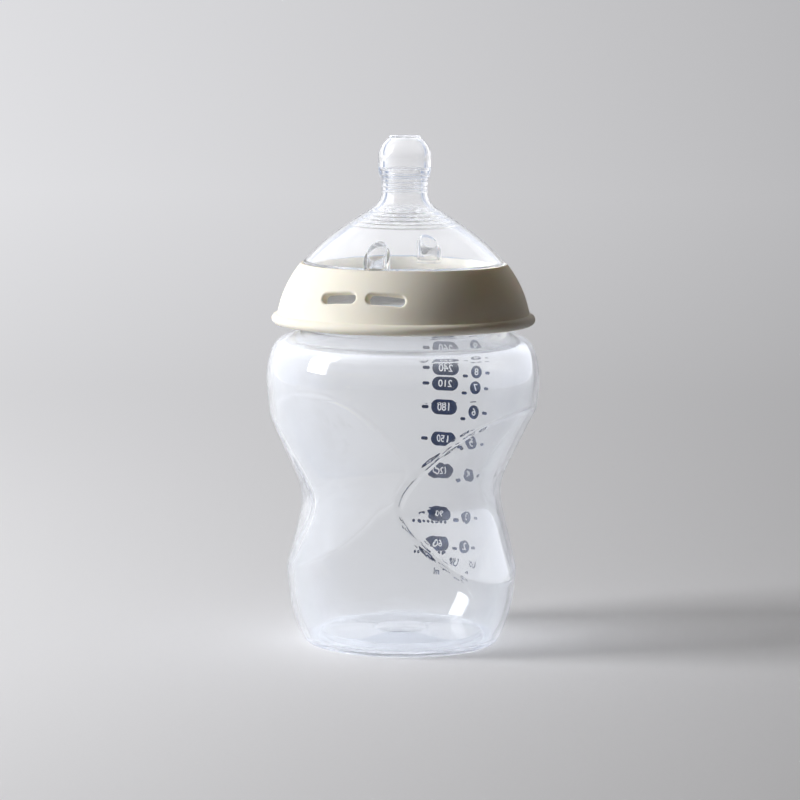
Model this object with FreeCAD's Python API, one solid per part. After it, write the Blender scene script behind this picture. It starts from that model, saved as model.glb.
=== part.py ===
"""Baby feeding bottle: a waisted clear bottle, a domed screw ring and a soft teat.

Millimetres, +Z up. The origin is the centre of the standing face, and the front of the bottle faces -Y.
"""
import FreeCAD, Part
import math
import os

# Bottle body
BODY_MAX_R = 38.5          # widest radius, just below the shoulder
BODY_MAX_Z = 74.8
SIDE_TAPER = 6.4           # degrees, the side leans out towards the top
FOOT_CURVE_Z = 14.0        # below this height the side curves in to the foot
FOOT_CURVE_R = 36.0
FOOT_EDGE_R = 1.2
SHOULDER_ARC_R = 24.0
SHOULDER_ARC_END = 20.0    # degrees from vertical where the tight shoulder bend starts
SHOULDER_BEND_R = 6.0
SHOULDER_SLOPE = 65.0      # degrees from vertical of the shoulder's upper cone
BODY_WALL = 1.6
FLOOR_WALL = 1.8
PUSH_UP_R = 23.8           # the floor is raised inside this radius
PUSH_UP_EDGE = 1.4         # width of the slope at the rim of the raised floor
PUSH_UP_HEIGHT = 1.5
PUSH_UP_CROWN = 0.7
GATE_DISH_R = 7.4
GATE_DISH_DEPTH = 0.5

# Grip recesses, one on each side
RECESS_TOP_Z = 67.8
RECESS_WAIST_Z = 43.4
RECESS_BOTTOM_Z = 18.9
RECESS_DEPTH = 8.6
RECESS_ROUND = 0.2         # roundness of the waist, 0 is a sharp V
RECESS_WAIST_SWEEP = 20.0  # the recess is swept round an axis this far past the bottle's own
RECESS_EDGE_SWEEP = 9.2
RECESS_SPAN = 80.0         # degrees that the sweep turns to each side
RECESS_OVERRUN = 1.3       # the cut runs on past the recess's top and bottom by this factor
RECESS_STEPS = 4           # outlines of the cut above the waist, and as many below
RECESS_CREASE_R = 1.2
RECESS_INNER_CREASE_R = 6.0  # the wall is thicker along the crease

# Neck, rim and screw thread
NECK_BORE_R = 26.6
NECK_WALL = 1.8
NECK_ROOT_R = 1.5
NECK_HEIGHT = 12.2         # from the top of the shoulder to the rim
RIM_EDGE_R = 0.5
THREAD_PITCH = 4.5
THREAD_DEPTH = 1.8
THREAD_ROOT_WIDTH = 2.0
THREAD_CREST_WIDTH = 1.0
THREAD_EMBED = 0.5
THREAD_START = 20.0        # degrees round the axis where the neck thread begins
NECK_THREAD_TURNS = 1.25
NECK_THREAD_DROP = 1.8     # from the rim down to the upper end of the thread
RING_THREAD_TURNS = 1.0
THREAD_CLEARANCE = 0.3

# Teat
FLANGE_WALL = 2.0
FLANGE_OVERHANG = 1.8
COLLAR_INSET = 0.2         # the collar stands this far inside the neck's outer wall
COLLAR_HEIGHT = 4.7
TEAT_WALL = 1.7
PLUG_DEPTH = 2.6
PLUG_WALL = 1.3
PLUG_CLEARANCE = 0.3
CONE_ANGLE = 57.0          # degrees from vertical
CONE_END_R = 16.0
NIPPLE_NECK_R = 6.5
NIPPLE_NECK_RISE = 19.3    # from the top of the collar to the nipple's narrow neck
NIPPLE_NECK_LENGTH = 2.4
NIPPLE_ROOT_R = 5.0
NIPPLE_BULB_R = 7.45
NIPPLE_BULB_RISE = 4.6
NIPPLE_BULB_LENGTH = 1.8
NIPPLE_CROWN_HEIGHT = 7.2  # from the straight bulb to the flat tip
NIPPLE_CROWN_BULGE = 0.95
NIPPLE_TIP_R = 4.5
NIPPLE_TIP_EDGE_R = 0.7
NIPPLE_TOP_WALL = 1.3
NIPPLE_WALL = 1.8
NIPPLE_CAVITY_TOP_R = 3.5
FEED_HOLE_R = 0.35
NECK_BEAD_R = 0.35
NECK_BEAD_PITCH = 1.25
NECK_BEAD_COUNT = 6
CONE_BEAD_R = 0.4
CONE_BEAD_PITCH = 1.8
CONE_BEAD_COUNT = 5
VENT_AXIS_R = 23.6
VENT_TURN = 5.0            # degrees that the vents stand round from front and back
VENT_WELL_R = 2.7
VENT_WALL = 0.9
VENT_FLOOR = 0.9
VENT_FLOOR_RISE = 3.4      # above the flange's top face
VENT_SLIT_LENGTH = 3.0
VENT_SLIT_WIDTH = 0.3

# Screw ring
FLANGE_CLEARANCE = 0.1
COLLAR_CLEARANCE = 0.3
RING_SKIRT_DROP = 13.0     # from the flange ledge to the foot
RING_FOOT_WALL = 5.0
RING_LIP_R = 1.45
RING_LIP_REACH = 0.15
RING_BULGE = 0.95
RING_TOP_RISE = 4.0        # from the flange ledge to the top edge
RING_TOP_WALL = 0.55
CORE_SKIRT_WALL = 1.8      # wall between the bore and the moulding groove in the foot
CORE_WIDTH = 1.5
CORE_HEIGHT = 4.5
SLOT_LENGTH = 10.3
SLOT_WIDTH = 3.0
SLOT_SPACING = 13.5
SLOT_TURN = 2.6            # degrees that the slots stand round from the front
SLOT_DROP = 3.3            # below the flange ledge
SLOT_TILT = 20.0           # degrees above level
SLOT_EDGE_R = 0.6


def unit(degrees):
    """Outward normal of a side that leans out by this many degrees from vertical."""
    return math.cos(math.radians(degrees)), -math.sin(math.radians(degrees))


def offset(point, normal, length):
    return point[0] + normal[0] * length, point[1] + normal[1] * length


# Radii and heights that the fits share
SHOULDER_CENTRE = (BODY_MAX_R - SHOULDER_ARC_R, BODY_MAX_Z)
BEND_CENTRE = offset(SHOULDER_CENTRE, unit(-SHOULDER_ARC_END), SHOULDER_ARC_R - SHOULDER_BEND_R)
SLOPE_START = offset(BEND_CENTRE, unit(-SHOULDER_SLOPE), SHOULDER_BEND_R)
NECK_R = NECK_BORE_R + NECK_WALL
SHOULDER_TOP_Z = SLOPE_START[1] + (SLOPE_START[0] - NECK_R) / math.tan(math.radians(SHOULDER_SLOPE))
RIM_Z = SHOULDER_TOP_Z + NECK_HEIGHT
THREAD_CREST_R = NECK_R + THREAD_DEPTH
NECK_THREAD_LOW_Z = RIM_Z - NECK_THREAD_DROP - THREAD_PITCH * NECK_THREAD_TURNS

FLANGE_R = NECK_R + FLANGE_OVERHANG
FLANGE_TOP_Z = RIM_Z + FLANGE_WALL
COLLAR_R = NECK_R - COLLAR_INSET
COLLAR_TOP_Z = FLANGE_TOP_Z + COLLAR_HEIGHT
PLUG_R = NECK_BORE_R - PLUG_CLEARANCE
PLUG_FOOT_Z = RIM_Z - PLUG_DEPTH
NIPPLE_NECK_LOW_Z = COLLAR_TOP_Z + NIPPLE_NECK_RISE
NIPPLE_NECK_TOP_Z = NIPPLE_NECK_LOW_Z + NIPPLE_NECK_LENGTH
NIPPLE_BULB_LOW_Z = NIPPLE_NECK_TOP_Z + NIPPLE_BULB_RISE
NIPPLE_BULB_TOP_Z = NIPPLE_BULB_LOW_Z + NIPPLE_BULB_LENGTH
TEAT_TOP_Z = NIPPLE_BULB_TOP_Z + NIPPLE_CROWN_HEIGHT
VENT_FLOOR_Z = FLANGE_TOP_Z + VENT_FLOOR_RISE

RING_BORE_R = THREAD_CREST_R + THREAD_CLEARANCE
RING_HOLE_R = COLLAR_R + COLLAR_CLEARANCE
RING_FOOT_R = RING_BORE_R + RING_FOOT_WALL
LEDGE_Z = FLANGE_TOP_Z + FLANGE_CLEARANCE
RING_TOP_Z = LEDGE_Z + RING_TOP_RISE
RING_FOOT_Z = LEDGE_Z - RING_SKIRT_DROP
THREAD_TURNS_LEFT = NECK_THREAD_TURNS - RING_THREAD_TURNS
RING_THREAD_START = THREAD_START + 360 * THREAD_TURNS_LEFT
RING_THREAD_LOW_Z = NECK_THREAD_LOW_Z + THREAD_PITCH * THREAD_TURNS_LEFT - THREAD_PITCH / 2

ORIGIN = FreeCAD.Vector(0, 0, 0)
AXIS_X = FreeCAD.Vector(1, 0, 0)
AXIS_Z = FreeCAD.Vector(0, 0, 1)
SAME_POINT = 1e-4


# Profiles, drawn as (radius, height) in the plane that looks to the back of the bottle
def at(r, z):
    return FreeCAD.Vector(0, r, z)


def line(start, end):
    return Part.LineSegment(at(*start), at(*end)).toShape()


def arc(start, middle, end):
    return Part.Arc(at(*start), at(*middle), at(*end)).toShape()


def lean_arc(centre, radius, lean_from, lean_to):
    """Arc of a side whose lean from vertical changes from one angle to another."""
    leans = (lean_from, (lean_from + lean_to) / 2, lean_to)
    return arc(*[offset(centre, unit(lean), radius) for lean in leans])


def bulged_arc(start, end, bulge):
    """Arc from start to end that stands out by the bulge on the right of its direction."""
    run = (end[0] - start[0], end[1] - start[1])
    right = (run[1] / math.hypot(*run), -run[0] / math.hypot(*run))
    halfway = offset(start, run, 0.5)
    return arc(start, offset(halfway, right, bulge), end)


def tangent_bulge(start, end, lean):
    """Bulge of the arc between two points that leaves the start at a lean from vertical."""
    run = (end[0] - start[0], end[1] - start[1])
    half_turn = (math.radians(lean) - math.atan2(run[0], -run[1])) / 2
    return math.hypot(*run) / 2 * math.tan(half_turn)


def round_corner(corner, before, after, radius):
    """Quarter arc at a square corner, between the directions to the points before and after it."""
    start = offset(corner, before, radius)
    end = offset(corner, after, radius)
    centre = offset(start, after, radius)
    outward = (-before[0] - after[0], -before[1] - after[1])
    return arc(start, offset(centre, outward, radius / math.sqrt(2)), end)


def ends(edge):
    """First and last (r, z) of a profile edge, in the order it was drawn."""
    first = edge.valueAt(edge.FirstParameter)
    last = edge.valueAt(edge.LastParameter)
    return (first.y, first.z), (last.y, last.z)


def chain(pieces):
    """Close a profile: join its edges and its loose corner points with straight lines."""
    spans = [(piece, piece) if isinstance(piece, tuple) else ends(piece) for piece in pieces]
    edges = [piece for piece in pieces if not isinstance(piece, tuple)]
    for number, (first, _) in enumerate(spans):
        last = spans[number - 1][1]
        if math.dist(last, first) > SAME_POINT:
            edges.append(line(last, first))
    return edges


def turned(edges):
    """Solid of revolution of a closed profile about the bottle's axis."""
    wire = Part.Wire(Part.__sortEdges__(edges))
    return Part.Face(wire).revolve(ORIGIN, AXIS_Z, 360)


def edges_on(shape, skin, cutters):
    """Edges that the cutters leave on a skin."""
    found = []
    for edge in shape.Edges:
        middle = Part.Vertex(edge.valueAt((edge.FirstParameter + edge.LastParameter) / 2))
        nearest_cutter = min(cutter.Shells[0].distToShape(middle)[0] for cutter in cutters)
        if nearest_cutter < SAME_POINT and skin.distToShape(middle)[0] < SAME_POINT:
            found.append(edge)
    return found


def thread_ridge(wall_r, crest_r, low_z, turns, start_angle, wall_low_z, wall_top_z):
    """Right-hand thread ridge on a wall, standing out to the crest, kept between the wall's two ends."""
    into_wall = 1 if crest_r < wall_r else -1
    root_r = wall_r + into_wall * THREAD_EMBED
    flank = (THREAD_ROOT_WIDTH - THREAD_CREST_WIDTH) / 2 / THREAD_DEPTH
    crest_half = THREAD_CREST_WIDTH / 2
    root_half = crest_half + flank * abs(root_r - crest_r)
    corners = [(root_r, -root_half), (crest_r, -crest_half), (crest_r, crest_half), (root_r, root_half)]
    points = [FreeCAD.Vector(r, 0, z) for r, z in corners]
    profile = Part.makePolygon(points + [points[0]])
    helix = Part.makeHelix(THREAD_PITCH, THREAD_PITCH * turns, wall_r)
    ridge = Part.Wire(helix.Edges).makePipeShell([profile], True, True)
    ridge.rotate(ORIGIN, AXIS_Z, start_angle)
    ridge.translate(FreeCAD.Vector(0, 0, low_z))
    room_r = wall_r + THREAD_DEPTH + THREAD_EMBED
    room = Part.makeCylinder(room_r, wall_top_z - wall_low_z, FreeCAD.Vector(0, 0, wall_low_z))
    return ridge.common(room)


# Bottle body
def side_radius(z):
    """Radius of the straight tapered side at a height."""
    top_r, top_z = offset(SHOULDER_CENTRE, unit(SIDE_TAPER), SHOULDER_ARC_R)
    return top_r - (top_z - z) * math.tan(math.radians(SIDE_TAPER))


def side_edges(inset, floor_z):
    """Side from a flat floor to the shoulder's upper cone, moved inwards by the inset."""
    foot_join = (side_radius(FOOT_CURVE_Z), FOOT_CURVE_Z)
    foot_centre = offset(foot_join, unit(SIDE_TAPER), -FOOT_CURVE_R)
    reach = FOOT_CURVE_R - inset - FOOT_EDGE_R
    edge_lean = math.degrees(math.asin((foot_centre[1] - floor_z - FOOT_EDGE_R) / reach))
    edge_centre = offset(foot_centre, unit(edge_lean), reach)
    return [
        lean_arc(edge_centre, FOOT_EDGE_R, 90, edge_lean),
        lean_arc(foot_centre, FOOT_CURVE_R - inset, edge_lean, SIDE_TAPER),
        lean_arc(SHOULDER_CENTRE, SHOULDER_ARC_R - inset, SIDE_TAPER, -SHOULDER_ARC_END),
        lean_arc(BEND_CENTRE, SHOULDER_BEND_R - inset, -SHOULDER_ARC_END, -SHOULDER_SLOPE),
    ]


def neck_root(radius, inset):
    """Hollow round between the shoulder's cone and a straight neck wall of this radius."""
    on_cone = offset(SLOPE_START, unit(-SHOULDER_SLOPE), NECK_ROOT_R - inset)
    centre_r = radius + NECK_ROOT_R
    centre_z = on_cone[1] + (on_cone[0] - centre_r) / math.tan(math.radians(SHOULDER_SLOPE))
    return lean_arc((centre_r, centre_z), -NECK_ROOT_R, -SHOULDER_SLOPE, 0)


def barrel():
    crown_z = PUSH_UP_HEIGHT + PUSH_UP_CROWN
    floor = [
        (0, crown_z - GATE_DISH_DEPTH),
        (GATE_DISH_R, crown_z - GATE_DISH_DEPTH),
        (GATE_DISH_R + GATE_DISH_DEPTH, crown_z),
        (PUSH_UP_R - PUSH_UP_EDGE, PUSH_UP_HEIGHT),
        (PUSH_UP_R, 0),
    ]
    rim = [round_corner((NECK_R, RIM_Z), (0, -1), (-1, 0), RIM_EDGE_R), (0, RIM_Z)]
    return turned(chain(floor + side_edges(0, 0) + [neck_root(NECK_R, 0)] + rim))


def cavity():
    floor = [
        (0, PUSH_UP_HEIGHT + PUSH_UP_CROWN + FLOOR_WALL),
        (PUSH_UP_R - PUSH_UP_EDGE, PUSH_UP_HEIGHT + FLOOR_WALL),
        (PUSH_UP_R, FLOOR_WALL),
    ]
    mouth = [(NECK_BORE_R, RIM_Z), (0, RIM_Z)]
    side = side_edges(BODY_WALL, FLOOR_WALL)
    return turned(chain(floor + side + [neck_root(NECK_BORE_R, BODY_WALL)] + mouth))


def recess_section(share, inset):
    """Level outline of the space a recess takes: share runs from -1 at its foot to 1 at its top."""
    rise = RECESS_TOP_Z - RECESS_WAIST_Z if share > 0 else RECESS_WAIST_Z - RECESS_BOTTOM_Z
    z = RECESS_WAIST_Z + share * rise
    fall = (math.hypot(share, RECESS_ROUND) - RECESS_ROUND) / (math.hypot(1, RECESS_ROUND) - RECESS_ROUND)
    near_r = side_radius(z) - RECESS_DEPTH * (1 - fall) - inset
    sweep = RECESS_EDGE_SWEEP + (RECESS_WAIST_SWEEP - RECESS_EDGE_SWEEP) * max(0, 1 - share ** 2)
    span = math.radians(RECESS_SPAN)
    far_x = 2 * BODY_MAX_R
    back = FreeCAD.Vector((near_r + sweep) * math.cos(span) - sweep, (near_r + sweep) * math.sin(span), z)
    front = FreeCAD.Vector(back.x, -back.y, z)
    far_back = FreeCAD.Vector(far_x, back.y, z)
    far_front = FreeCAD.Vector(far_x, front.y, z)
    return Part.Wire([
        Part.Arc(front, FreeCAD.Vector(near_r, 0, z), back).toShape(),
        Part.LineSegment(back, far_back).toShape(),
        Part.LineSegment(far_back, far_front).toShape(),
        Part.LineSegment(far_front, front).toShape(),
    ])


def recesses(inset):
    steps = range(-RECESS_STEPS, RECESS_STEPS + 1)
    sections = [recess_section(RECESS_OVERRUN * step / RECESS_STEPS, inset) for step in steps]
    right = Part.makeLoft(sections, True, False)
    return [right, right.mirror(ORIGIN, AXIS_X)]


def waisted(turned_form, inset, crease_r):
    cutters = recesses(inset)
    cut = turned_form.cut(cutters)
    return cut.makeFillet(crease_r, edges_on(cut, turned_form.Shells[0], cutters))


def bottle_body():
    outside = waisted(barrel(), 0, RECESS_CREASE_R)
    inside = waisted(cavity(), BODY_WALL, RECESS_INNER_CREASE_R)
    ridge = thread_ridge(NECK_R, THREAD_CREST_R, NECK_THREAD_LOW_Z, NECK_THREAD_TURNS, THREAD_START,
                         SHOULDER_TOP_Z, RIM_Z)
    return outside.cut(inside).fuse(ridge)


# Teat
def beaded(start, end, first, pitch, count, bead_r):
    """Straight profile run with round beads on its right, the first at a distance from the start."""
    length = math.dist(start, end)
    along = ((end[0] - start[0]) / length, (end[1] - start[1]) / length)
    right = (along[1], -along[0])
    pieces = [start]
    for number in range(count):
        centre = offset(start, along, first + pitch * number)
        crest = offset(centre, right, bead_r)
        pieces.append(arc(offset(centre, along, -bead_r), crest, offset(centre, along, bead_r)))
    return pieces + [end]


def cone_ends(inset):
    """Top and foot of the straight cone below the nipple, moved inwards by the inset."""
    outward = unit(-CONE_ANGLE)
    root_centre = (NIPPLE_NECK_R + NIPPLE_ROOT_R, NIPPLE_NECK_LOW_Z)
    top = offset(root_centre, outward, -NIPPLE_ROOT_R - inset)
    run = (CONE_END_R - inset * outward[0] - top[0]) / outward[1]
    return top, offset(top, (outward[1], -outward[0]), run)


def collar_corner(inset):
    """Corner where the dome meets the collar, moved inwards by the inset."""
    cone_foot = cone_ends(0)[1]
    chord_lean = math.atan2(COLLAR_R - cone_foot[0], cone_foot[1] - COLLAR_TOP_Z)
    corner_lean = 2 * chord_lean - math.radians(CONE_ANGLE)
    return COLLAR_R - inset, COLLAR_TOP_Z - inset * math.tan(corner_lean / 2)


def nipple_root(inset):
    """Hollow round from the nipple's neck down to the cone."""
    centre_r = NIPPLE_NECK_R + NIPPLE_ROOT_R
    neck = (NIPPLE_NECK_R - inset, NIPPLE_NECK_LOW_Z)
    half = math.radians(CONE_ANGLE / 2)
    radius = centre_r - neck[0]
    middle = (centre_r - radius * math.cos(half), NIPPLE_NECK_LOW_Z - radius * math.sin(half))
    return [neck, middle, cone_ends(inset)[0]]


def teat_outside():
    """From the tip of the nipple down to the plug skirt."""
    cone_foot = cone_ends(0)[1]
    collar_top = collar_corner(0)
    tip = (NIPPLE_TIP_R, TEAT_TOP_Z)
    bulb_low = (NIPPLE_BULB_R, NIPPLE_BULB_LOW_Z)
    neck_top = (NIPPLE_NECK_R, NIPPLE_NECK_TOP_Z)
    halfway = ((bulb_low[0] + neck_top[0]) / 2, (bulb_low[1] + neck_top[1]) / 2)
    swell = tangent_bulge(bulb_low, halfway, 0)
    return [
        (0, TEAT_TOP_Z),
        round_corner(tip, (-1, 0), (0, -1), NIPPLE_TIP_EDGE_R),
        bulged_arc((NIPPLE_TIP_R, TEAT_TOP_Z - NIPPLE_TIP_EDGE_R), (NIPPLE_BULB_R, NIPPLE_BULB_TOP_Z),
                   -NIPPLE_CROWN_BULGE),
        bulged_arc(bulb_low, halfway, -swell),
        bulged_arc(halfway, neck_top, swell),
        arc(*nipple_root(0)),
        bulged_arc(cone_foot, collar_top, -tangent_bulge(cone_foot, collar_top, CONE_ANGLE)),
        (COLLAR_R, FLANGE_TOP_Z),
        (FLANGE_R, FLANGE_TOP_Z),
        (FLANGE_R, RIM_Z),
        (PLUG_R, RIM_Z),
        (PLUG_R, PLUG_FOOT_Z),
    ]


def teat_inside():
    """From the plug skirt up to the top of the nipple."""
    cone_top, cone_foot = cone_ends(TEAT_WALL)
    collar_top = collar_corner(TEAT_WALL)
    dome_bulge = tangent_bulge(cone_foot, collar_top, CONE_ANGLE)
    beads_length = CONE_BEAD_PITCH * (CONE_BEAD_COUNT - 1)
    first_cone_bead = (math.dist(cone_foot, cone_top) - beads_length) / 2
    root = nipple_root(TEAT_WALL)
    neck_low = root[0]
    neck_top = (neck_low[0], NIPPLE_BULB_LOW_Z)
    bulb_r = NIPPLE_BULB_R - NIPPLE_WALL
    top_z = TEAT_TOP_Z - NIPPLE_TOP_WALL
    plug = [(PLUG_R - PLUG_WALL, PLUG_FOOT_Z), (PLUG_R - PLUG_WALL, RIM_Z), (collar_top[0], FLANGE_TOP_Z)]
    dome = [bulged_arc(collar_top, cone_foot, dome_bulge)]
    cone = beaded(cone_foot, cone_top, first_cone_bead, CONE_BEAD_PITCH, CONE_BEAD_COUNT, CONE_BEAD_R)
    neck = beaded(neck_low, neck_top, NECK_BEAD_R, NECK_BEAD_PITCH, NECK_BEAD_COUNT, NECK_BEAD_R)
    crown = [
        (bulb_r, NIPPLE_BULB_LOW_Z),
        bulged_arc((bulb_r, NIPPLE_BULB_TOP_Z), (NIPPLE_CAVITY_TOP_R, top_z), NIPPLE_CROWN_BULGE),
        (0, top_z),
    ]
    return plug + dome + cone + [arc(*reversed(root))] + neck + crown


def vent_cylinder(radius, low_z, y):
    return Part.makeCylinder(radius, TEAT_TOP_Z - low_z, FreeCAD.Vector(0, y, low_z))


def vent_slit(y):
    """Cutter for the slit through a well's floor, reaching past the floor on both sides."""
    slit = Part.makeBox(VENT_SLIT_LENGTH, VENT_SLIT_WIDTH, 2 * VENT_FLOOR)
    middle_z = VENT_FLOOR_Z - VENT_FLOOR / 2
    slit.translate(FreeCAD.Vector(-VENT_SLIT_LENGTH / 2, y - VENT_SLIT_WIDTH / 2, middle_z - VENT_FLOOR))
    return slit


def teat():
    shell = turned(chain(teat_outside() + teat_inside()))
    envelope = turned(chain(teat_outside() + [(0, PLUG_FOOT_Z)]))
    for y in (-VENT_AXIS_R, VENT_AXIS_R):
        boss = vent_cylinder(VENT_WELL_R + VENT_WALL, VENT_FLOOR_Z - VENT_FLOOR, y)
        shell = shell.fuse(boss.common(envelope))
        shell = shell.cut([vent_cylinder(VENT_WELL_R, VENT_FLOOR_Z, y), vent_slit(y)])
    hole = Part.makeCylinder(FEED_HOLE_R, NIPPLE_CROWN_HEIGHT, FreeCAD.Vector(0, 0, NIPPLE_BULB_TOP_Z))
    return shell.cut(hole).rotated(ORIGIN, AXIS_Z, VENT_TURN)


# Screw ring
def ring_dome():
    """Outer edge of the ring from its rolled lip up to the top."""
    lip_top_z = RING_FOOT_Z + 2 * RING_LIP_R
    return bulged_arc((RING_FOOT_R, lip_top_z + RING_LIP_REACH), (RING_HOLE_R + RING_TOP_WALL, RING_TOP_Z),
                      RING_BULGE)


def ring_shell():
    lip_r = RING_FOOT_R + RING_LIP_REACH
    lip_z = RING_FOOT_Z + RING_LIP_R
    groove_r = RING_BORE_R + CORE_SKIRT_WALL
    groove_top_z = RING_FOOT_Z + CORE_HEIGHT
    return turned(chain([
        (RING_BORE_R, RING_FOOT_Z),
        (groove_r, RING_FOOT_Z),
        (groove_r, groove_top_z),
        (groove_r + CORE_WIDTH / 2, groove_top_z),
        (groove_r + CORE_WIDTH, RING_FOOT_Z),
        arc((lip_r, lip_z - RING_LIP_R), (lip_r + RING_LIP_R, lip_z), (lip_r, lip_z + RING_LIP_R)),
        ring_dome(),
        (RING_HOLE_R, RING_TOP_Z),
        (RING_HOLE_R, LEDGE_Z),
        (RING_BORE_R, LEDGE_Z),
    ]))


def slot_cutter(shift):
    """Pill-shaped prism through the front wall, tilted to stand square to the dome."""
    half_run = (SLOT_LENGTH - SLOT_WIDTH) / 2
    half_width = SLOT_WIDTH / 2
    corners = [FreeCAD.Vector(x, 0, z) for x, z in [
        (-half_run, -half_width), (half_run, -half_width), (half_run + half_width, 0),
        (half_run, half_width), (-half_run, half_width), (-half_run - half_width, 0)]]
    outline = Part.Wire([
        Part.LineSegment(corners[0], corners[1]).toShape(),
        Part.Arc(corners[1], corners[2], corners[3]).toShape(),
        Part.LineSegment(corners[3], corners[4]).toShape(),
        Part.Arc(corners[4], corners[5], corners[0]).toShape(),
    ])
    depth = RING_FOOT_R + RING_FOOT_WALL
    prism = Part.Face(outline).extrude(FreeCAD.Vector(0, -depth, 0))
    prism.rotate(ORIGIN, AXIS_X, -SLOT_TILT)
    wall_r = RING_BORE_R + RING_FOOT_WALL / 2
    seat_z = LEDGE_Z - SLOT_DROP - wall_r * math.tan(math.radians(SLOT_TILT))
    prism.translate(FreeCAD.Vector(shift, 0, seat_z))
    return prism.rotated(ORIGIN, AXIS_Z, SLOT_TURN)


def screw_ring():
    slots = [slot_cutter(shift) for shift in (-SLOT_SPACING / 2, SLOT_SPACING / 2)]
    slotted = ring_shell().cut(slots)
    dome_skin = ring_dome().revolve(ORIGIN, AXIS_Z, 360)
    rounded = slotted.makeFillet(SLOT_EDGE_R, edges_on(slotted, dome_skin, slots))
    ridge = thread_ridge(RING_BORE_R, NECK_R + THREAD_CLEARANCE, RING_THREAD_LOW_Z,
                         RING_THREAD_TURNS, RING_THREAD_START, RING_FOOT_Z, LEDGE_Z)
    return rounded.fuse(ridge)


os.makedirs("parts", exist_ok=True)
for node, shape in [("bottle_body", bottle_body()), ("teat", teat()), ("screw_ring", screw_ring())]:
    print(node, "valid" if shape.isValid() else "not valid", len(shape.Solids), round(shape.Volume, 1))
    shape.exportStep("parts/" + node + ".step")
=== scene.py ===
import bmesh
import bpy
import math
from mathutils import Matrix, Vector


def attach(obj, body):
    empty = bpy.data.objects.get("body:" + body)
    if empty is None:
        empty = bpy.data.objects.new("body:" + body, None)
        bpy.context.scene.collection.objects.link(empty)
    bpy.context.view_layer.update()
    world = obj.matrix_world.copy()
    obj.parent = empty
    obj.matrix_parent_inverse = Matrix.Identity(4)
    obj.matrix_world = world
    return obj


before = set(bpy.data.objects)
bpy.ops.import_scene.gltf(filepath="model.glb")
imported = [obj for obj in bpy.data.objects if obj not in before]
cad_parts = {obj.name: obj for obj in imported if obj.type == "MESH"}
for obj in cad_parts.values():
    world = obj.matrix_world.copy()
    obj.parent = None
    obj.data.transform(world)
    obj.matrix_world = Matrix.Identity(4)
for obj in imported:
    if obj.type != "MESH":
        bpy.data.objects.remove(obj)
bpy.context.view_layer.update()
MM = 0.001

# Camera, matched to the viewing angle
CAMERA_AZIMUTH = math.radians(23.0)
CAMERA_DISTANCE = 868.7 * MM
CAMERA_HEIGHT = 176.4 * MM
CAMERA_PITCH = math.radians(7.08)
CAMERA_ROLL = math.radians(0.42)
CAMERA_YAW = math.radians(0.106)
CAMERA_LENS = 139.4
CAMERA_SENSOR = 36.0
VIEW_RIGHT = Vector((math.cos(CAMERA_AZIMUTH), math.sin(CAMERA_AZIMUTH), 0))
VIEW_DEPTH = Vector((-math.sin(CAMERA_AZIMUTH), math.cos(CAMERA_AZIMUTH), 0))

# Volume scale on the back wall as read from behind, in millimetres:
# across runs to the reader's right, and up is the height above the standing face
ML_HEIGHTS = {60: 22.4, 90: 31.5, 120: 43.6, 150: 53.0, 180: 62.2, 210: 69.0, 240: 73.7, 260: 79.0}
ML_PER_UK_OUNCE = 28.41
ML_PER_US_OUNCE = 29.57
OUNCES = range(2, 10)
DOTTED_ROWS = (60, 90)
ML_COLUMN = 2.2
TICK_COLUMN = 8.2
OUNCE_COLUMN = -8.0
UK_COLUMN = -4.2
US_COLUMN = -12.1
PILL_SIZE = (8.3, 4.2)
TICK_SIZE = (2.1, 1.0)
DASH_SIZE = (1.8, 0.9)
OUNCE_DISC = 3.9
DOT_SIZE = 1.0
DOT_PITCH = 1.5
DOT_COUNT = 8
DOT_DROP = 2.6
FIGURE_SIZE = 3.0
WORD_SIZE = 2.7
STROKE_SPREAD = 0.06       # each side of a stroke, for the bold of the scale
NATION_HEIGHT = 17.3
UNIT_HEIGHT = 14.2
PRINT_WALL_R = 37.5        # wall radius that turns a width of the print into an angle
PRINT_STEP = 1.0           # the print is cut into squares of this size, so that it follows the wall
INK_LIFT = 0.03

# Milky haze in the clear pieces, as a share of a wall's look
HAZE_LIMIT = 0.24          # from a quarter on, denoising draws false lines in the wall
HAZE_RETURN = 0.4          # of the haze's light, what it sends back to the lit side
EDGE_HAZE_START = 0.14     # how far the bottle's wall turns from the eye before it looks milky
EDGE_HAZE_FULL = 0.5
# Milky parts of the bottle: height where the haze starts, height where it is full, its share there
HAZE_ZONES = {"foot": (9 * MM, 1 * MM, 0.12), "lower_wall": (48 * MM, 18 * MM, 0.025),
              "shoulder": (79 * MM, 87 * MM, HAZE_LIMIT)}

# Paper sweep, in metres
SWEEP_HALF_WIDTH = 0.9
SWEEP_FRONT = -2.0
BEND_START = 0.6
BEND_R = 1.8
BEND_TURN = math.radians(44)
BEND_STEPS = 48
FRAME_START = 0.65         # from the camera to the nearest floor in the frame
PALEST = 0.72              # the sweep's painted glow gets no brighter than this to the eye
GLASS_GAIN = 1.32          # painted light: through glass the sweep shows this much brighter, for what the glass reflects away
HAZE_GAIN = 5.5            # painted light: and by this much more in milky plastic, standing in for the light that scatters inside it

# Room beyond the sweep
SHADE_FILL = 0.028
OVERHEAD_GLOSS = 2.8
REAR_PANEL_GLOSS = 2.4
HAZE_LIGHT = 6.0

# Softbox to the left, a little in front of the bottle, in metres and watts
KEY_DIRECTION = (-VIEW_RIGHT - 0.2 * VIEW_DEPTH).normalized()
KEY_ELEVATION = math.radians(28)
KEY_DISTANCE = 0.8
KEY_SIZE = (0.26, 0.5)
KEY_POWER = 7.4
KEY_TARGET = Vector((0, 0, 70 * MM))


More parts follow.
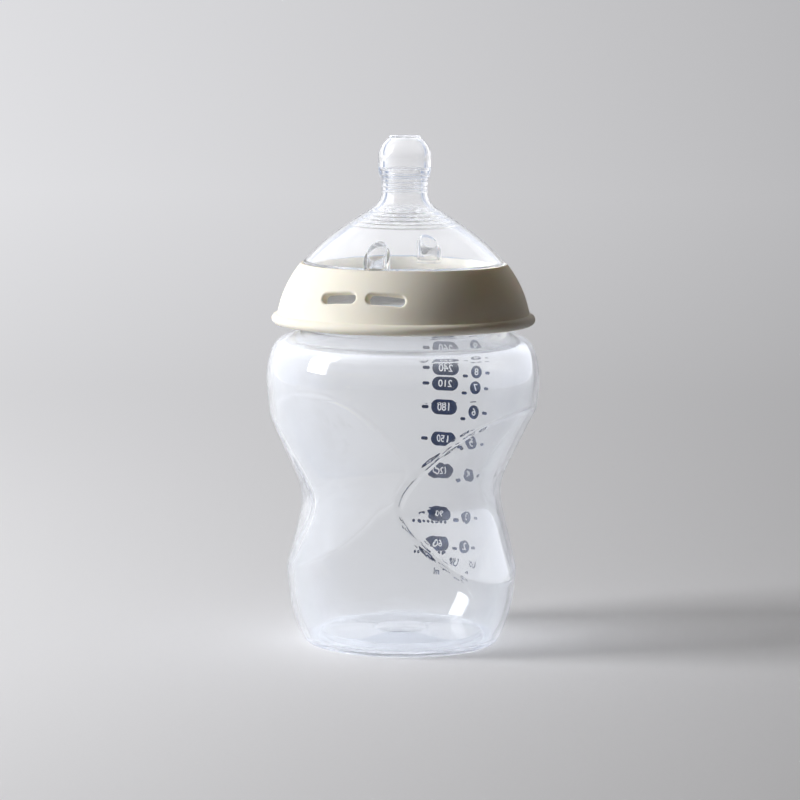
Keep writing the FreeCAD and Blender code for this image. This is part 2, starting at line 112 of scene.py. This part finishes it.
def linear(code):
    """Linear colour of an sRGB hex code."""
    shares = [int(code[i:i + 2], 16) / 255 for i in (1, 3, 5)]
    return [s / 12.92 if s <= 0.04045 else ((s + 0.055) / 1.055) ** 2.4 for s in shares] + [1.0]


def add_node(tree, kind, inputs=None, **settings):
    """Add a node, apply its settings, and set or link its inputs."""
    node = tree.nodes.new(kind)
    for name, value in settings.items():
        setattr(node, name, value)
    for socket, value in (inputs or {}).items():
        if isinstance(value, bpy.types.NodeSocket):
            tree.links.new(value, node.inputs[socket])
        else:
            node.inputs[socket].default_value = value
    return node


def new_material(name):
    """Material with an empty node tree."""
    material = bpy.data.materials.new(name)
    material.use_nodes = True
    material.node_tree.nodes.clear()
    return material, material.node_tree


def let_lamp_through(tree, surface, tint):
    """Finish a see-through material: lamp light goes straight on into its shadow, in this tint."""
    lamp_pass = add_node(tree, "ShaderNodeBsdfTransparent", {"Color": tint})
    path = add_node(tree, "ShaderNodeLightPath")
    whole = add_node(tree, "ShaderNodeMixShader", {
        0: path.outputs["Is Shadow Ray"], 1: surface, 2: lamp_pass.outputs[0]})
    add_node(tree, "ShaderNodeOutputMaterial", {"Surface": whole.outputs[0]})


def dress(node, material):
    """Give a solid its material in place of the plain one."""
    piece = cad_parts[node]
    piece.data.materials.clear()
    piece.data.materials.append(material)


# Materials
def clarified_polypropylene():
    # Blow-moulded clear polypropylene: glossy and faintly wavy, with a milky haze that thickens in the foot,
    # in the shoulder and where the wall is seen edge-on.
    material, tree = new_material("clarified_polypropylene")
    place = add_node(tree, "ShaderNodeTexCoord")
    flow = add_node(tree, "ShaderNodeTexNoise", {
        "Vector": place.outputs["Object"], "Scale": 1 / (14 * MM), "Detail": 2.0})
    waves = add_node(tree, "ShaderNodeBump", {
        "Strength": 1.0, "Distance": 0.02 * MM, "Height": flow.outputs[0]})
    gloss = add_node(tree, "ShaderNodeMapRange", {"Value": flow.outputs[0], "To Min": 0.0, "To Max": 0.01})
    clear = add_node(tree, "ShaderNodeBsdfPrincipled", {
        "Base Color": linear("#fdfeff"), "Roughness": gloss.outputs[0], "IOR": 1.49,
        "Transmission Weight": 1.0, "Normal": waves.outputs[0]})
    passed = add_node(tree, "ShaderNodeBsdfTranslucent", {"Color": linear("#f2f5fb")})
    scattered = add_node(tree, "ShaderNodeBsdfDiffuse", {"Color": linear("#f7f9fc")})
    haze = add_node(tree, "ShaderNodeMixShader", {
        0: HAZE_RETURN, 1: passed.outputs[0], 2: scattered.outputs[0]})
    facing = add_node(tree, "ShaderNodeLayerWeight", {"Blend": 0.5})
    share = add_node(tree, "ShaderNodeMapRange", {
        "Value": facing.outputs["Facing"], "From Min": EDGE_HAZE_START, "From Max": EDGE_HAZE_FULL,
        "To Min": 0.002, "To Max": HAZE_LIMIT}, interpolation_type="SMOOTHSTEP")
    height = add_node(tree, "ShaderNodeSeparateXYZ", {0: place.outputs["Object"]})
    for start, full, most in HAZE_ZONES.values():
        zone = add_node(tree, "ShaderNodeMapRange", {
            "Value": height.outputs["Z"], "From Min": start, "From Max": full, "To Max": most},
            interpolation_type="SMOOTHSTEP")
        share = add_node(tree, "ShaderNodeMath", {0: share.outputs[0], 1: zone.outputs[0]},
                         operation="MAXIMUM")
    milky = add_node(tree, "ShaderNodeMixShader", {
        0: share.outputs[0], 1: clear.outputs[0], 2: haze.outputs[0]})
    held_back = add_node(tree, "ShaderNodeMapRange", {
        "Value": facing.outputs["Facing"], "To Min": 0.7, "To Max": 0.2})
    let_lamp_through(tree, milky.outputs[0], held_back.outputs[0])
    return material


def warm_white_polypropylene():
    # Injection-moulded white polypropylene: satin and slightly waxy, and warmer in the shade, where light
    # soaks through.
    material, tree = new_material("warm_white_polypropylene")
    place = add_node(tree, "ShaderNodeTexCoord")
    satin = add_node(tree, "ShaderNodeTexNoise", {
        "Vector": place.outputs["Object"], "Scale": 1 / (0.25 * MM), "Detail": 2.0})
    flow = add_node(tree, "ShaderNodeTexNoise", {
        "Vector": place.outputs["Object"], "Scale": 1 / (18 * MM), "Detail": 3.0})
    grain = add_node(tree, "ShaderNodeBump", {
        "Strength": 0.3, "Distance": 0.005 * MM, "Height": satin.outputs[0]})
    sheen = add_node(tree, "ShaderNodeMapRange", {"Value": flow.outputs[0], "To Min": 0.4, "To Max": 0.55})
    colour = add_node(tree, "ShaderNodeMix", {
        "Factor": flow.outputs[0], 6: linear("#fdf9ef"), 7: linear("#fbf6e8")}, data_type="RGBA")
    skin = add_node(tree, "ShaderNodeBsdfPrincipled", {
        "Base Color": colour.outputs[2], "Roughness": sheen.outputs[0], "IOR": 1.49,
        "Specular IOR Level": 0.03, "Normal": grain.outputs[0],
        "Subsurface Weight": 0.2, "Subsurface Radius": (1.0, 0.7, 0.4), "Subsurface Scale": 3 * MM})
    glow = add_node(tree, "ShaderNodeBsdfTranslucent", {"Color": linear("#f6e6c6")})
    waxy = add_node(tree, "ShaderNodeMixShader", {0: 0.03, 1: skin.outputs[0], 2: glow.outputs[0]})
    let_lamp_through(tree, waxy.outputs[0], linear("#b8b2a8"))
    return material


def clear_silicone():
    # Moulded liquid silicone: water-clear and glossy, softly uneven, with a trace of haze.
    material, tree = new_material("clear_silicone")
    place = add_node(tree, "ShaderNodeTexCoord")
    flow = add_node(tree, "ShaderNodeTexNoise", {
        "Vector": place.outputs["Object"], "Scale": 1 / (6 * MM), "Detail": 2.0})
    waves = add_node(tree, "ShaderNodeBump", {
        "Strength": 1.0, "Distance": 0.02 * MM, "Height": flow.outputs[0]})
    gloss = add_node(tree, "ShaderNodeMapRange", {"Value": flow.outputs[0], "To Min": 0.01, "To Max": 0.05})
    clear = add_node(tree, "ShaderNodeBsdfPrincipled", {
        "Base Color": linear("#fefefe"), "Roughness": gloss.outputs[0], "IOR": 1.34,
        "Transmission Weight": 1.0, "Normal": waves.outputs[0]})
    passed = add_node(tree, "ShaderNodeBsdfTranslucent", {"Color": linear("#f2f3f4")})
    facing = add_node(tree, "ShaderNodeLayerWeight", {"Blend": 0.5})
    edge = add_node(tree, "ShaderNodeMath", {0: facing.outputs["Facing"], 1: 3.0}, operation="POWER")
    share = add_node(tree, "ShaderNodeMapRange", {
        "Value": edge.outputs[0], "To Min": 0.03, "To Max": HAZE_LIMIT})
    hazy = add_node(tree, "ShaderNodeMixShader", {
        0: share.outputs[0], 1: clear.outputs[0], 2: passed.outputs[0]})
    held_back = add_node(tree, "ShaderNodeMapRange", {
        "Value": facing.outputs["Facing"], "To Min": 0.95, "To Max": 0.5})
    let_lamp_through(tree, hazy.outputs[0], held_back.outputs[0])
    return material


def studio_paper():
    # Matt paper sweep: faintly fibrous, with painted light, an emission that is brightest at the left, comes
    # back at the far right and grows with the distance. Painted shade: clear pieces show little of the part
    # in front of the bottle.
    material, tree = new_material("studio_paper")
    place = add_node(tree, "ShaderNodeTexCoord")
    fibre = add_node(tree, "ShaderNodeTexNoise", {
        "Vector": place.outputs["Object"], "Scale": 1 / (0.8 * MM), "Detail": 2.0})
    colour = add_node(tree, "ShaderNodeMix", {
        "Factor": fibre.outputs[0], 6: linear("#bebec0"), 7: linear("#bababc")}, data_type="RGBA")
    paper = add_node(tree, "ShaderNodeBsdfDiffuse", {"Color": colour.outputs[2]})
    across = add_node(tree, "ShaderNodeVectorMath", {0: place.outputs["Object"], 1: VIEW_RIGHT},
                      operation="DOT_PRODUCT")
    behind = add_node(tree, "ShaderNodeVectorMath", {0: place.outputs["Object"], 1: VIEW_DEPTH},
                      operation="DOT_PRODUCT")
    ahead = add_node(tree, "ShaderNodeMath", {0: behind.outputs["Value"], 1: CAMERA_DISTANCE},
                     operation="ADD")
    away = add_node(tree, "ShaderNodeMath", {0: ahead.outputs[0], 1: FRAME_START}, operation="MAXIMUM")
    spread = add_node(tree, "ShaderNodeMath", {0: across.outputs["Value"], 1: away.outputs[0]},
                      operation="DIVIDE")
    # painted light: emission brighter to the left, again at the far right, and brighter with distance
    painted_side_light = add_node(tree, "ShaderNodeMapRange", {
        "Value": spread.outputs[0], "From Min": -0.8, "From Max": 0.4, "To Min": 2.35, "To Max": 0.32})
    painted_right_light = add_node(tree, "ShaderNodeMapRange", {
        "Value": spread.outputs[0], "From Min": 0.15, "From Max": 0.5, "To Max": 1.3})
    sides = add_node(tree, "ShaderNodeMath", {0: painted_side_light.outputs[0], 1: painted_right_light.outputs[0]},
                     operation="MAXIMUM")
    painted_far_light = add_node(tree, "ShaderNodeMapRange", {
        "Value": away.outputs[0], "From Min": 0.0, "From Max": 1.95, "To Min": 0.05, "To Max": 0.58})
    glow = add_node(tree, "ShaderNodeMath", {0: sides.outputs[0], 1: painted_far_light.outputs[0]},
                    operation="MULTIPLY")
    path = add_node(tree, "ShaderNodeLightPath")
    # painted shade: the emission in front of the bottle is dimmed in what gloss and glass show of it
    painted_front_shade = add_node(tree, "ShaderNodeMapRange", {
        "Value": behind.outputs["Value"], "From Min": -0.25, "From Max": -0.04, "To Min": 0.25})
    # painted light: the sweep's emission is raised where glass and milky plastic show it
    gain = add_node(tree, "ShaderNodeMapRange", {
        "Value": path.outputs["Is Diffuse Ray"], "To Min": GLASS_GAIN, "To Max": GLASS_GAIN + HAZE_GAIN})
    through = add_node(tree, "ShaderNodeMath", {0: path.outputs["Is Transmission Ray"], 1: gain.outputs[0]},
                       operation="MULTIPLY")
    bent = add_node(tree, "ShaderNodeMath", {0: path.outputs["Is Glossy Ray"], 1: through.outputs[0]},
                    operation="MAXIMUM")
    dimmed = add_node(tree, "ShaderNodeMath", {0: bent.outputs[0], 1: painted_front_shade.outputs[0]},
                      operation="MULTIPLY")
    pale = add_node(tree, "ShaderNodeMath", {0: glow.outputs[0], 1: PALEST}, operation="MINIMUM")
    seen = add_node(tree, "ShaderNodeMath", {0: path.outputs["Is Camera Ray"], 1: pale.outputs[0]},
                    operation="MULTIPLY")
    lensed = add_node(tree, "ShaderNodeMath", {0: dimmed.outputs[0], 1: glow.outputs[0]},
                      operation="MULTIPLY")
    level = add_node(tree, "ShaderNodeMath", {0: seen.outputs[0], 1: lensed.outputs[0]}, operation="MAXIMUM")
    # painted light: the emission that lies over the lit paper
    light = add_node(tree, "ShaderNodeEmission", {"Color": linear("#fafbff"), "Strength": level.outputs[0]})
    both = add_node(tree, "ShaderNodeAddShader", {0: paper.outputs[0], 1: light.outputs[0]})
    add_node(tree, "ShaderNodeOutputMaterial", {"Surface": both.outputs[0]})
    return material


def scale_ink():
    # Pad-printed slate-blue ink: thin, matt and opaque.
    material, tree = new_material("slate_blue_pad_ink")
    place = add_node(tree, "ShaderNodeTexCoord")
    speckle = add_node(tree, "ShaderNodeTexNoise", {
        "Vector": place.outputs["Object"], "Scale": 1 / (0.5 * MM), "Detail": 3.0})
    colour = add_node(tree, "ShaderNodeMix", {
        "Factor": speckle.outputs[0], 6: linear("#10264c"), 7: linear("#223c6a")}, data_type="RGBA")
    ink = add_node(tree, "ShaderNodeBsdfPrincipled", {
        "Base Color": colour.outputs[2], "Roughness": 0.6, "Specular IOR Level": 0.15})
    add_node(tree, "ShaderNodeOutputMaterial", {"Surface": ink.outputs[0]})
    return material


# Volume scale
def volume_height(volume):
    """Height of a volume's mark, between or past the printed ones."""
    marks = sorted(ML_HEIGHTS)
    upper = next((m for m in marks[1:] if m >= volume), marks[-1])
    lower = marks[marks.index(upper) - 1]
    share = (volume - lower) / (upper - lower)
    return ML_HEIGHTS[lower] + share * (ML_HEIGHTS[upper] - ML_HEIGHTS[lower])


def print_bar(outlines, across, up, width, height):
    """Bar with round ends."""
    radius = min(width, height) / 2
    quarter_steps = 12
    points = []
    for turn in range(4 * quarter_steps):
        angle = 2 * math.pi * (turn + 0.5) / (4 * quarter_steps)
        side, rise = math.cos(angle), math.sin(angle)
        points.append((across + math.copysign(width / 2 - radius, side) + radius * side,
                       up + math.copysign(height / 2 - radius, rise) + radius * rise))
    spline = outlines.splines.new("POLY")
    spline.points.add(len(points) - 1)
    for place, point in zip(spline.points, points):
        place.co = (*point, 0, 1)
    spline.use_cyclic_u = True


def print_words(outlines, text, size, across, up):
    """Outlines of a word or figure, centred, which cut through a bar that they lie in."""
    words = bpy.data.curves.new("words", "FONT")
    words.body = text
    words.size = size
    words.align_x = "CENTER"
    words.align_y = "CENTER"
    holder = bpy.data.objects.new("words", words)
    for letter in holder.to_curve(bpy.context.evaluated_depsgraph_get()).splines:
        spline = outlines.splines.new("BEZIER")
        spline.bezier_points.add(len(letter.bezier_points) - 1)
        for place, point in zip(spline.bezier_points, letter.bezier_points):
            along = (point.handle_right - point.handle_left).normalized()
            shift = Vector((across, up, 0)) + STROKE_SPREAD * Vector((along.y, -along.x, 0))
            for part in ("handle_left", "handle_right", "co"):
                setattr(place, part, getattr(point, part) + shift)
        spline.use_cyclic_u = True
    holder.to_curve_clear()
    bpy.data.objects.remove(holder)


def on_back_wall(across, up):
    """Point of the print on the outside of the bottle's back wall."""
    angle = across / PRINT_WALL_R
    outward = Vector((-math.sin(angle), math.cos(angle), 0))
    start = outward * 2 * PRINT_WALL_R * MM + Vector((0, 0, up * MM))
    _, place, normal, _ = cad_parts["bottle_body"].ray_cast(start, -outward)
    return place + normal * INK_LIFT * MM


def volume_scale():
    """Printed film with the marks in millilitres and in UK and US fluid ounces."""
    outlines = bpy.data.curves.new("volume_scale", "CURVE")
    outlines.dimensions = "2D"
    outlines.fill_mode = "BOTH"
    for volume, up in ML_HEIGHTS.items():
        print_bar(outlines, ML_COLUMN, up, *PILL_SIZE)
        print_words(outlines, str(volume), FIGURE_SIZE, ML_COLUMN, up)
        print_bar(outlines, TICK_COLUMN, up, *TICK_SIZE)
    for volume in DOTTED_ROWS:
        for dot in range(DOT_COUNT):
            across = (ML_COLUMN + TICK_COLUMN) / 2 + DOT_PITCH * (dot - (DOT_COUNT - 1) / 2)
            print_bar(outlines, across, ML_HEIGHTS[volume] - DOT_DROP, DOT_SIZE, DOT_SIZE)
    for ounces in OUNCES:
        uk_up = volume_height(ounces * ML_PER_UK_OUNCE)
        us_up = volume_height(ounces * ML_PER_US_OUNCE)
        print_bar(outlines, UK_COLUMN, uk_up, *DASH_SIZE)
        print_bar(outlines, US_COLUMN, us_up, *DASH_SIZE)
        print_bar(outlines, OUNCE_COLUMN, us_up, OUNCE_DISC, OUNCE_DISC)
        print_words(outlines, str(ounces), FIGURE_SIZE, OUNCE_COLUMN, us_up)
    print_words(outlines, "UK", WORD_SIZE, UK_COLUMN, NATION_HEIGHT)
    print_words(outlines, "US", WORD_SIZE, US_COLUMN, NATION_HEIGHT)
    print_words(outlines, "fl oz", WORD_SIZE, OUNCE_COLUMN, UNIT_HEIGHT)
    print_words(outlines, "ml", WORD_SIZE, ML_COLUMN, UNIT_HEIGHT)

    flat = bpy.data.objects.new("flat_scale", outlines)
    film = bmesh.new()
    film.from_mesh(flat.to_mesh())
    flat.to_mesh_clear()
    bpy.data.objects.remove(flat)
    for axis in (0, 1):
        reach = [vertex.co[axis] for vertex in film.verts]
        normal = Vector((axis == 0, axis == 1, 0))
        for cut in range(math.ceil(min(reach) / PRINT_STEP), math.ceil(max(reach) / PRINT_STEP)):
            everything = film.verts[:] + film.edges[:] + film.faces[:]
            bmesh.ops.bisect_plane(film, geom=everything, plane_co=normal * cut * PRINT_STEP, plane_no=normal)
    for vertex in film.verts:
        vertex.co = on_back_wall(vertex.co.x, vertex.co.y)
    mesh = bpy.data.meshes.new("volume_scale")
    film.to_mesh(mesh)
    film.free()
    mesh.shade_smooth()
    mesh.materials.append(scale_ink())
    scale = bpy.data.objects.new("volume_scale", mesh)
    bpy.context.scene.collection.objects.link(scale)
    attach(scale, "bottle")


# Stage
def backdrop():
    """Paper sweep: a floor that bends up behind the bottle."""
    profile = [(SWEEP_FRONT, 0.0), (BEND_START, 0.0)]
    for step in range(1, BEND_STEPS + 1):
        turn = BEND_TURN * step / BEND_STEPS
        profile.append((BEND_START + BEND_R * math.sin(turn), BEND_R * (1 - math.cos(turn))))
    points = []
    for depth, height in profile:
        for side in (-SWEEP_HALF_WIDTH, SWEEP_HALF_WIDTH):
            points.append(VIEW_RIGHT * side + VIEW_DEPTH * depth + Vector((0, 0, height)))
    faces = [(2 * i, 2 * i + 1, 2 * i + 3, 2 * i + 2) for i in range(len(profile) - 1)]
    mesh = bpy.data.meshes.new("backdrop")
    mesh.from_pydata(points, [], faces)
    mesh.shade_smooth()
    mesh.materials.append(studio_paper())
    sweep = bpy.data.objects.new("backdrop", mesh)
    bpy.context.scene.collection.objects.link(sweep)


def key_softbox():
    data = bpy.data.lights.new("key_softbox", "AREA")
    data.shape = "RECTANGLE"
    data.size, data.size_y = KEY_SIZE
    data.energy = KEY_POWER
    lamp = bpy.data.objects.new("key_softbox", data)
    lamp.location = KEY_TARGET + KEY_DISTANCE * (
        KEY_DIRECTION * math.cos(KEY_ELEVATION) + Vector((0, 0, math.sin(KEY_ELEVATION))))
    lamp.rotation_euler = (KEY_TARGET - lamp.location).to_track_quat("-Z", "Y").to_euler()
    bpy.context.scene.collection.objects.link(lamp)


def studio_room():
    """Room beyond the sweep: dim and warm in the shade, bright overhead and at the rear sides in gloss,
    blue-grey low down through glass, white in milky plastic, and plain grey to the eye."""
    world = bpy.data.worlds.new("studio_room")
    world.use_nodes = True
    tree = world.node_tree
    tree.nodes.clear()
    path = add_node(tree, "ShaderNodeLightPath")
    place = add_node(tree, "ShaderNodeTexCoord")
    height = add_node(tree, "ShaderNodeSeparateXYZ", {0: place.outputs["Generated"]})
    overhead = add_node(tree, "ShaderNodeMapRange", {
        "Value": height.outputs["Z"], "To Min": 0.2, "To Max": OVERHEAD_GLOSS})
    depth = add_node(tree, "ShaderNodeVectorMath", {0: place.outputs["Generated"], 1: VIEW_DEPTH},
                     operation="DOT_PRODUCT")
    ahead = add_node(tree, "ShaderNodeMapRange", {
        "Value": depth.outputs["Value"], "From Min": -0.6, "From Max": -0.1, "To Min": 0.25})
    across = add_node(tree, "ShaderNodeVectorMath", {0: place.outputs["Generated"], 1: VIEW_RIGHT},
                      operation="DOT_PRODUCT")
    aside = add_node(tree, "ShaderNodeMath", {0: across.outputs["Value"]}, operation="ABSOLUTE")
    panels = add_node(tree, "ShaderNodeMapRange", {
        "Value": aside.outputs[0], "From Min": 0.15, "From Max": 0.5, "To Max": REAR_PANEL_GLOSS},
        interpolation_type="SMOOTHSTEP")
    rear_panels = add_node(tree, "ShaderNodeMath", {0: panels.outputs[0], 1: ahead.outputs[0]},
                           operation="MULTIPLY")
    bright = add_node(tree, "ShaderNodeMath", {0: overhead.outputs[0], 1: rear_panels.outputs[0]},
                      operation="ADD")
    window = add_node(tree, "ShaderNodeMix", {
        "Factor": height.outputs["Z"], 6: linear("#8b9cbc"), 7: linear("#fafbff")}, data_type="RGBA")
    fill = add_node(tree, "ShaderNodeBackground", {"Color": linear("#ffd090"), "Strength": SHADE_FILL})
    mirrored = add_node(tree, "ShaderNodeBackground", {
        "Color": linear("#fafbff"), "Strength": bright.outputs[0]})
    refracted = add_node(tree, "ShaderNodeBackground", {
        "Color": window.outputs[2], "Strength": ahead.outputs[0]})
    soaked = add_node(tree, "ShaderNodeBackground", {"Color": linear("#f2f5fd"), "Strength": HAZE_LIGHT})
    seen = add_node(tree, "ShaderNodeBackground", {"Color": linear("#c9c9cc"), "Strength": 1.0})
    plain = add_node(tree, "ShaderNodeMixShader", {
        0: path.outputs["Is Camera Ray"], 1: fill.outputs[0], 2: seen.outputs[0]})
    gloss = add_node(tree, "ShaderNodeMixShader", {
        0: path.outputs["Is Glossy Ray"], 1: plain.outputs[0], 2: mirrored.outputs[0]})
    through = add_node(tree, "ShaderNodeMixShader", {
        0: path.outputs["Is Diffuse Ray"], 1: refracted.outputs[0], 2: soaked.outputs[0]})
    room = add_node(tree, "ShaderNodeMixShader", {
        0: path.outputs["Is Transmission Ray"], 1: gloss.outputs[0], 2: through.outputs[0]})
    add_node(tree, "ShaderNodeOutputWorld", {"Surface": room.outputs[0]})
    bpy.context.scene.world = world


def camera():
    data = bpy.data.cameras.new("camera")
    data.lens = CAMERA_LENS
    data.sensor_width = CAMERA_SENSOR
    eye = bpy.data.objects.new("camera", data)
    eye.location = -VIEW_DEPTH * CAMERA_DISTANCE + Vector((0, 0, CAMERA_HEIGHT))
    eye.rotation_euler = (math.pi / 2 - CAMERA_PITCH, -CAMERA_ROLL, CAMERA_AZIMUTH + CAMERA_YAW)
    bpy.context.scene.collection.objects.link(eye)
    bpy.context.scene.camera = eye


dress("bottle_body", clarified_polypropylene())
dress("screw_ring", warm_white_polypropylene())
dress("teat", clear_silicone())

volume_scale()

backdrop()
camera()
key_softbox()
studio_room()
bpy.context.scene.view_settings.view_transform = "Standard"
